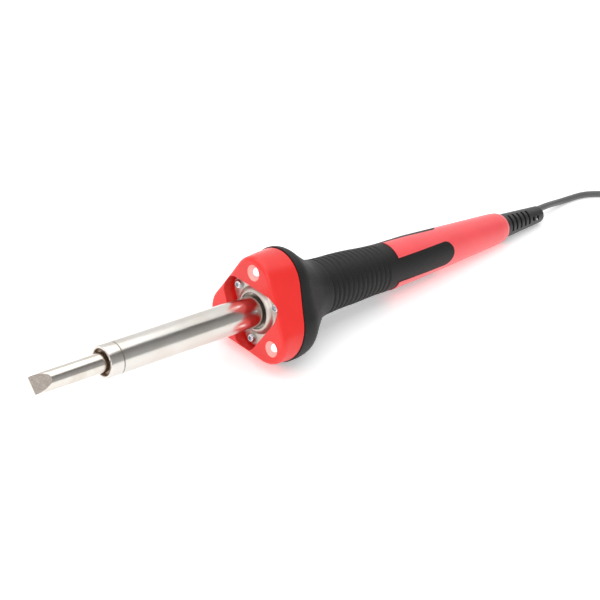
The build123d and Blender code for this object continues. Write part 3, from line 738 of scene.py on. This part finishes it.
# ------------------------------------------------------------------ shield and lamps
SHIELD_AT = 88.4
SHIELD_BACK = 103.4


def lean(turn):
    """How far back the seam between shield and grip leans at an angle."""
    return 4.2 * cos(turn - radians(62)) - 0.5


def shield_profile(turn):
    """Half section of the shield at an angle: outside, rim, pocket, and inside, as one loop."""
    back = lobed(turn, 29.4, 24.3)
    front = lobed(turn, 29.4, 21.7)
    rim = 2.5
    long = 4.0 - (front - 21.7) / 7.7
    pocket = lobed(turn, 20.5, 14.25, 30)
    mouth = pocket + 0.45
    stop = pi / 2 if front - mouth >= rim else acos(max(0.0, 1 - (front - mouth) / rim))
    points = [(SHIELD_BACK, back - 0.35), (SHIELD_BACK - 0.1, back - 0.1), (SHIELD_BACK - 0.35, back)]
    points += [(97.0, front + (back - front) * 6.2 / 12.6)]
    for k in range(8):
        a = stop * k / 7
        points.append((SHIELD_AT + long * (1 - sin(a)), front - rim * (1 - cos(a))))
    x = points[-1][0]
    reach = min(points[-1][1], mouth + 0.6)
    points += [(x, max(reach, mouth + 0.01)), (x, mouth), (x + 0.13, pocket + 0.13), (x + 0.45, pocket)]
    points += [(94.6, pocket), (95.05, pocket - 0.15), (95.2, pocket - 0.6), (95.2, 12.66)]
    points += [(97.0, 12.65), (97.0, 10.5), (98.2, 10.5)]
    wall = front - 2.2
    tub = min(pocket + 2.2, wall - 0.3)
    room = 91.2 if pocket + 2.2 < wall - 1 else 98.1
    points += [(98.2, tub), (room, tub + 0.01), (room, wall), (SHIELD_BACK, back - 2.2)]
    points.append(points[0])
    return points


class IRON_OT_shield(bpy.types.Operator):
    """Moulds the three-cornered red shield with its pocket and lamp openings, and adds the lamps"""

    bl_idname = "iron.shield"
    bl_label = "Light shield and lamps"

    def execute(self, context):
        colours = context.scene.iron_colours
        count = len(shield_profile(0.0))
        draft = [(k, 10 + 3 * sin(2 * pi * k / (count - 1))) for k in range(count - 1)]
        draft.append(draft[0])
        cache = {}

        def shape(k, turn):
            key = round(turn, 4)
            if key not in cache:
                cache[key] = shield_profile(turn)
            x, radius = cache[key][k]
            return x + lean(turn) * max(0.0, (x - 97.0) / (SHIELD_BACK - 97.0)), radius

        shield = spun("light_shield_moulded", draft, 240, shape)
        for turn in LIGHT_TURNS:
            tool = [(86, 0), (86, 4.5), (88.0, 4.4), (88.4, 4.1), (88.75, 3.75)]
            tool += [(90.2, 2.9), (91.0, 2.5), (94, 2.45), (94, 0)]
            cut(shield, moved(spun("opening", tool, 48), turn, LIGHT_CIRCLE))
        for turn in SCREW_TURNS:
            cut(shield, moved(spun("hole", [(90, 0), (90, 1.5), (99, 1.5), (99, 0)], 24), turn, SCREW_CIRCLE))
        # injection-moulded ABS in signal red: satin, with the tool's fine spark-eroded grain
        abs_red = finish("abs_red_moulded", colours.shield[:], Roughness=0.34, IOR=1.54)
        shader = abs_red.node_tree.nodes["Principled BSDF"]
        shader.inputs["Subsurface Weight"].default_value = 0.08
        shader.inputs["Subsurface Radius"].default_value = (1.0, 0.2, 0.1)
        shader.inputs["Subsurface Scale"].default_value = 0.002
        grain(abs_red, 0.6, deep=0.012, rough=(0.28, 0.42))
        grain(abs_red, 14, spread=0.06)
        # the same plastic round each lamp, paler and glowing: painted light from the lamps, not a glow of its
        # own
        abs_painted_glow = finish("abs_red_painted_lamp_glow", linear("#FFA79F"), Roughness=0.4)
        shader = abs_painted_glow.node_tree.nodes["Principled BSDF"]
        shader.inputs["Emission Color"].default_value = (*linear("#FF8E86"), 1)
        shader.inputs["Emission Strength"].default_value = 0.12
        grain(abs_painted_glow, 0.9, deep=0.02, spread=0.15, rough=(0.32, 0.46))
        paint(shield, abs_red, abs_painted_glow)
        # faces round each lamp's opening take the painted lamp glow
        for face in shield.data.polygons:
            x, y, z = face.center
            for turn in LIGHT_TURNS:
                middle = (LIGHT_CIRCLE * cos(radians(turn)), LIGHT_CIRCLE * sin(radians(turn)))
                off = hypot(y - middle[0], z - middle[1])
                if off < 4.0 and 88.42 < x < 90.6:
                    face.material_index = 1
        place(shield, "iron", "red_shield", "light_shield", smooth=35)

        lamp = spun(
            "lamp",
            [(89.2, 0), (89.27, 0.6), (89.52, 1.2), (89.95, 1.75), (90.6, 2.15), (91.6, 2.4),
             (97.0, 2.4), (97.0, 2.8), (97.8, 2.8), (97.8, 0)],
            48,
        )
        # clear epoxy lamp, lit: the chip's white light fills the dome
        resin = finish("epoxy_lamp_lit", colours.lamp[:], Roughness=0.08, IOR=1.5)
        shader = resin.node_tree.nodes["Principled BSDF"]
        shader.inputs["Emission Color"].default_value = (*colours.lamp, 1)
        shader.inputs["Emission Strength"].default_value = 0.75
        grain(resin, 2.0, rough=(0.05, 0.12))
        paint(lamp, resin)
        for k, turn in enumerate(LIGHT_TURNS):
            each = moved(copied(lamp, f"light_lens_{k + 1}"), turn, LIGHT_CIRCLE)
            place(each, "iron", "lamp_resin", "light_lenses")
        bpy.data.objects.remove(lamp)
        return {"FINISHED"}


# ------------------------------------------------------------------ handle
COLLAR_AT = 103.6
COLLAR_LEN = 36.4
NECK_R = 14.55
LOBE_FALL = 29.6 - NECK_R
FLAT_FALL = 24.2 - NECK_R
LOBES = [
    (0.0, 1.0), (0.12, 0.98), (0.21, 0.92), (0.32, 0.69),
    (0.45, 0.45), (0.59, 0.2), (0.72, 0.06), (0.85, 0.02), (1.0, 0.01),
]
FLATS = [
    (0.0, 1.0), (0.12, 1.0), (0.21, 0.93), (0.32, 0.7),
    (0.45, 0.45), (0.59, 0.21), (0.72, 0.08), (0.85, 0.02), (1.0, 0.01),
]
ROUND = [
    (140.0, 14.6), (158.0, 14.2), (172.0, 13.3), (186.0, 12.95),
    (206.0, 12.8), (278.0, 9.3), (282.2, 8.8), (284.3, 8.1), (285.0, 7.6),
]


BOW = 1.0  # how high the neck's middle line stands, mm
BOWED = [(103.6, 0.0), (114.0, 0.7), (122.0, 1.0), (150.0, 1.0), (166.0, 0.6), (182.0, 0.0)]


def softened(table, x, reach):
    """Value from a table, averaged over a reach either side so that its corners are round."""
    steps = 9
    return sum(between(table, x + reach * (2 * k / (steps - 1) - 1)) for k in range(steps)) / steps


def grip_radius(x, turn, inset=0.0):
    """The grip's surface at a place along it and an angle round it."""
    if x >= COLLAR_AT + COLLAR_LEN:
        return softened(ROUND, x, 3.0 if x < 230 else 0.1) - inset
    share = (x - COLLAR_AT) / COLLAR_LEN
    soft = 0.05 if share > 0.06 else 0.0
    swell = 0.4 * (1 - share) ** 0.5 if share > 0.8 else 0.4 * (1 - 0.55 * max(0, share - 0.5))
    lobe = 14.55 + swell + LOBE_FALL * softened(LOBES, share, soft)
    flat = 14.55 + swell + FLAT_FALL * softened(FLATS, share, soft)
    return lobed(turn, lobe - inset, min(flat - inset, lobe - inset - 0.001))


class IRON_OT_grip(bpy.types.Operator):
    """Moulds the black soft grip with its collar, grooves and three tongues"""

    bl_idname = "iron.grip"
    bl_label = "Soft grip"

    def execute(self, context):
        sizes, colours = context.scene.iron_sizes, context.scene.iron_colours
        start, pitch = 134.7, 3.55
        last = start + pitch * (sizes.grooves - 1)
        xs = [103.6, 103.75, 104.1]
        xs += [104.6 + 0.9 * k for k in range(32)]
        xs += [133.2 + 0.3 * k for k in range(int((last - 133.2 + 1.8) / 0.3) + 1)]
        xs += [xs[-1] + 1.2 * k for k in range(1, 50)]
        xs = [x for x in xs if x < 234]
        outline, kinds = [], []
        for x in xs:
            outline.append((x, 20.0))
            edge = 0.35 if x == xs[0] else (0.1 if x == xs[1] else 0.0)
            kinds.append((x, edge))
        for x in (xs[-1], 190, 141, 128, 120, 114, 108, xs[0]):
            outline.append((x, 10.0))
            kinds.append((x, 2.2))
        outline.append(outline[0])
        kinds.append(kinds[0])

        def shape(k, turn):
            x, inset = kinds[k]
            x += lean(turn) * max(0.0, (126 - x) / 22.4)
            radius = grip_radius(x, turn, inset)
            radius += BOW * cos(turn - radians(51)) * between(BOWED, x) if inset < 1 else 0.0
            if inset < 1:
                for g in range(sizes.grooves):
                    off = abs(x - start - pitch * g)
                    if off < sizes.groove_wide / 2:
                        radius -= sizes.groove_deep * cos(pi * off / sizes.groove_wide) ** 2
            return x, radius

        grip = spun("soft_grip_moulded", outline, 144, shape)
        window = spun("window", [(186, 8), (186, 19), (236, 19), (236, 8), (186, 8)], 64)
        for k in range(3):
            tongue = box("tongue", (180, -6.7, 0), (224.5, 6.7, 30))
            bpy.ops.mesh.primitive_cylinder_add(vertices=48, radius=6.7, depth=30, location=(224.5, 0, 15))
            cut(tongue, bpy.context.object, operation="UNION")
            for side in (-1, 1):
                near, far = sorted((side * 6.5, side * 10.2))
                corner = box("corner", (180, near, 0), (189.5, far, 30))
                bpy.ops.mesh.primitive_cylinder_add(
                    vertices=32, radius=3.4, depth=40, location=(189.5, side * 10.2, 15)
                )
                cut(corner, bpy.context.object)
                cut(tongue, corner, operation="UNION")
            cut(window, turned_about_axis(tongue, 165.8 + 120 * k - 90))
        cut(grip, window)
        ease(grip, sizes.seam, angle=48, segments=2)
        # thermoplastic rubber over the hard core: matt, with a fine moulded grain
        rubber = finish("thermoplastic_rubber", colours.rubber[:], Roughness=0.6, Specular_IOR_Level=0.38)
        grain(rubber, 0.5, deep=0.03, spread=0.25, rough=(0.5, 0.68))
        grain(rubber, 11, spread=0.2)
        paint(grip, rubber)
        place(grip, "iron", "black_grip", "soft_grip", smooth=40)

        # polypropylene core in a softer red: satin, paler where the light skims it
        core_red = finish("polypropylene_red", colours.handle[:], Roughness=0.4, IOR=1.5, Sheen_Weight=0.3)
        shader = core_red.node_tree.nodes["Principled BSDF"]
        shader.inputs["Subsurface Weight"].default_value = 0.1
        shader.inputs["Subsurface Radius"].default_value = (1.0, 0.25, 0.15)
        shader.inputs["Subsurface Scale"].default_value = 0.002
        grain(core_red, 0.7, deep=0.012, rough=(0.34, 0.48))
        grain(core_red, 20, spread=0.06)
        paint(NODES["handle_core"], core_red)
        return {"FINISHED"}


class IRON_OT_boot(bpy.types.Operator):
    """Moulds the slotted strain relief"""

    bl_idname = "iron.boot"
    bl_label = "Strain relief"

    def execute(self, context):
        boot = spun(
            "strain_relief_moulded",
            [
                (276, 0), (276, 5.4), (278, 5.4), (278, 4.5), (285, 4.5), (285, 6.9), (285.3, 7.2),
                (287.5, 7.08), (320.6, 5.08), (321.5, 4.75), (322, 4.1), (322, 0),
            ],
            96,
        )
        for k in range(7):
            x = 289.7 + 4.2 * k
            radius = 7.2 - 2.2 * (x - 285) / 37
            if k < 5:
                for side in (-1, 1):
                    near, far = sorted((side * 2.8, side * 12))
                    tool = box("slot", (x - 0.85, near, -0.7 * radius), (x + 0.85, far, 0.7 * radius))
                    cut(boot, turned_about_axis(tool, -39))
            else:
                tool = box("slot", (x - 1.1, -12, -3.3), (x + 1.1, 12, -0.8))
                cut(boot, turned_about_axis(ease(tool, 0.4, segments=3), -39))
        hollow = box("hollow", (309, -3.4, -3.3), (323, 3.4, -0.7))
        cut(boot, turned_about_axis(hollow, -39))
        outlet = box("outlet", (316, 0, -3.2), (320.8, 12, -0.8))
        cut(boot, turned_about_axis(outlet, -39))
        ease(boot, 0.22, angle=35)
        # moulded soft PVC, black: satin with a greasy bloom
        soft = finish("pvc_black_moulded", linear("#29292A"), Roughness=0.45, IOR=1.53)
        grain(soft, 0.6, deep=0.02, spread=0.2, rough=(0.38, 0.56))
        grain(soft, 6, spread=0.2)
        paint(boot, soft)
        place(boot, "iron", "black_grip", "strain_relief", smooth=35)
        return {"FINISHED"}


# ------------------------------------------------------------------ pieces kept from the frame
class IRON_OT_inside(bpy.types.Operator):
    """Gives the pieces kept from the frame their finishes"""

    bl_idname = "iron.inside"
    bl_label = "Inner pieces"

    def execute(self, context):
        makers = {
            # blackened alloy steel
            "steel_black_oxide": ("#3A3A3C", 1.0, 0.35, 0.6, 0.01, 0.2, ["tip_set_screw"]),
            # fired steatite: chalky, off-white
            "steatite_fired": ("#E6E0D2", 0.0, 0.6, 0.8, 0.03, 0.12, ["ceramic_plug"]),
            # nickel wire, drawn
            "nickel_wire": ("#B9B4AA", 1.0, 0.3, 0.3, 0.004, 0.1, ["heater_leads", "earth_lead"]),
            # braided glass sleeving, cream
            "glass_fibre_sleeving": ("#E9E3CF", 0.0, 0.7, 0.5, 0.08, 0.25, ["lead_sleeves"]),
            # pressed glass-fibre board, grey
            "glass_fibre_gasket": ("#A9A59B", 0.0, 0.8, 0.9, 0.05, 0.2, ["flange_gasket"]),
            # stainless sleeve, dulled by heat
            "stainless_dull": ("#9B9288", 1.0, 0.35, 1.5, 0.01, 0.3, ["heater_sleeve"]),
            # mica sheet: brown and flaky
            "mica_sheet": ("#A98B5A", 0.1, 0.3, 2.5, 0.02, 0.4, ["mica_inner_wrap", "mica_outer_wrap"]),
            # resistance wire, close wound
            "nichrome_wound": ("#8A857C", 1.0, 0.4, 0.6, 0.1, 0.3, ["heater_winding"]),
            # tinned copper pins
            "copper_tinned": ("#C9C7C0", 1.0, 0.25, 0.5, 0.004, 0.1, ["light_pins"]),
            # epoxy glass board with green resist
            "epoxy_glass_board": ("#1F6B3A", 0.0, 0.35, 0.7, 0.01, 0.2, ["light_board"]),
            # film capacitor, dipped
            "epoxy_dipped": ("#B5432B", 0.0, 0.3, 1.5, 0.03, 0.15, ["board_capacitor"]),
            # moulded black epoxy
            "epoxy_black": ("#1D1D1F", 0.0, 0.4, 0.6, 0.01, 0.2, ["board_rectifier"]),
            # lacquered resistor body
            "lacquer_blue": ("#5F93B8", 0.0, 0.3, 0.9, 0.01, 0.15, ["board_resistors"]),
            # hook-up wire
            "pvc_wire_red": ("#B3261E", 0.0, 0.4, 0.8, 0.01, 0.1, ["board_wires"]),
            # crimped tinned brass
            "brass_crimp": (
                "#C9B37A", 1.0, 0.3, 0.8, 0.02, 0.25, ["live_crimp", "neutral_crimp", "earth_crimp"]
            ),
            "pvc_brown": ("#5A3420", 0.0, 0.4, 0.8, 0.01, 0.1, ["live_core"]),
            "pvc_blue": ("#1F4E9B", 0.0, 0.4, 0.8, 0.01, 0.1, ["neutral_core"]),
            "pvc_green": ("#3E8B2E", 0.0, 0.4, 0.8, 0.01, 0.1, ["earth_core"]),
            "pvc_jacket": ("#59595A", 0.0, 0.45, 1.2, 0.02, 0.1, ["lead_jacket_end"]),
            "brass_ferrule": ("#BFA66A", 1.0, 0.3, 0.8, 0.01, 0.2, ["lead_ferrule"]),
            # woven hook-and-loop strap, black: fuzzy and matt
            "nylon_strap_woven": ("#1B1B1D", 0.0, 0.85, 0.8, 0.25, 0.45, ["coil_tie"]),
            # nickel-plated brass blades
            "brass_nickel_plated": (
                "#D2CBB8", 1.0, 0.22, 1.2, 0.006, 0.15, ["plug_blades", "plug_earth_pin"]
            ),
        }
        for name, (code, metal, rough, grit, deep, spread, nodes) in makers.items():
            made = finish(name, linear(code), Metallic=metal, Roughness=rough)
            grain(made, grit, deep=deep, spread=spread, rough=(rough * 0.8, min(1.0, rough * 1.25)))
            for node in nodes:
                paint(NODES[node], made)
        return {"FINISHED"}


# ------------------------------------------------------------------ panel
STEPS = ("stage", "lead", "tip", "barrel", "flange", "shield", "grip", "boot", "inside")


class IRON_PT_panel(bpy.types.Panel):
    """Lists the iron's pieces in the order they are made"""

    bl_idname = "IRON_PT_panel"
    bl_label = "Soldering iron"
    bl_space_type = "VIEW_3D"
    bl_region_type = "UI"
    bl_category = "Iron"

    def draw(self, context):
        layout = self.layout
        for group in (context.scene.iron_sizes, context.scene.iron_colours):
            column = layout.column(align=True)
            for name in group.__annotations__:
                column.prop(group, name)
        for step in STEPS:
            layout.operator(f"iron.{step}")


CLASSES = (
    IronSizes,
    IronColours,
    IRON_OT_stage,
    IRON_OT_lead,
    IRON_OT_tip,
    IRON_OT_barrel,
    IRON_OT_flange,
    IRON_OT_shield,
    IRON_OT_grip,
    IRON_OT_boot,
    IRON_OT_inside,
    IRON_PT_panel,
)


def register():
    for each in CLASSES:
        bpy.utils.register_class(each)
    bpy.types.Scene.iron_sizes = PointerProperty(type=IronSizes)
    bpy.types.Scene.iron_colours = PointerProperty(type=IronColours)


def unregister():
    del bpy.types.Scene.iron_colours
    del bpy.types.Scene.iron_sizes
    for each in reversed(CLASSES):
        bpy.utils.unregister_class(each)


def main():
    register()
    for step in STEPS:
        getattr(bpy.ops.iron, step)()


if __name__ == "__main__":
    main()
